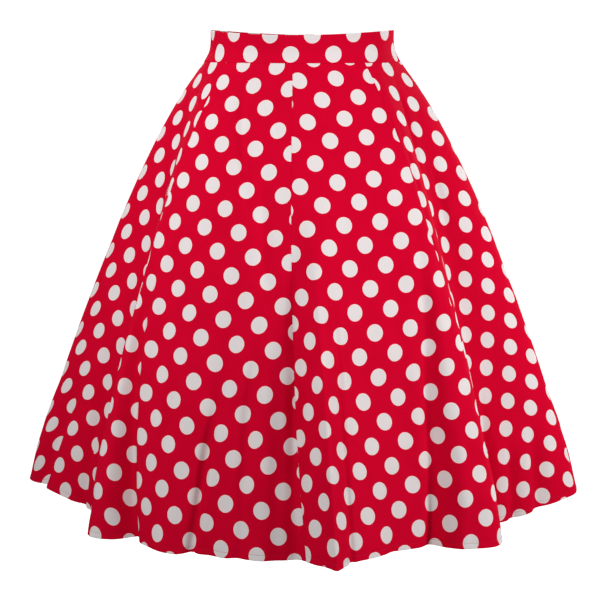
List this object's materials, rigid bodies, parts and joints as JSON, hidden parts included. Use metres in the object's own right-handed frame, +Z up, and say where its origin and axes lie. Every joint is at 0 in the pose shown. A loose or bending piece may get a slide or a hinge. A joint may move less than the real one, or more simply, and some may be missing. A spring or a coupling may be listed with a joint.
{
  "type": "a-line skirt",
  "caption": "Knee-length A-line skirt of flared gores on a straight waistband, concealed zip at the centre back; open at waist and hem.",
  "frame": {"origin": "middle of the waist opening at mid height of the waistband", "axes": "+X to the right of someone who looks at the front, +Y from the front to the back, +Z up"},
  "size_m": [0.7487, 0.633, 0.6257],
  "materials": {
    "red_cotton": "matte plain weave with pale dots",
    "zip_tape": "matte woven tape",
    "zip_metal": "gloss lacquer"
  },
  "bodies": {
    "skirt": {"gore_front_left": "red_cotton", "gore_front_right": "red_cotton", "gore_side_front_left": "red_cotton", "gore_side_front_right": "red_cotton", "gore_side_back_left": "red_cotton", "gore_side_back_right": "red_cotton", "gore_back_left": "red_cotton", "gore_back_right": "red_cotton", "waistband_front": "red_cotton", "waistband_back_left": "red_cotton", "waistband_back_right": "red_cotton", "zip_tape": "zip_tape", "zip_slider": "zip_metal"},
    "pull": {"zip_pull": "zip_metal"}
  },
  "joints": [
    {"name": "pull_swing", "type": "hinge", "parent": "skirt", "child": "pull", "pos_m": [0, 0.09943, 0.0095], "axis": [1, 0, 0], "range_deg": [0, 150]}
  ]
}
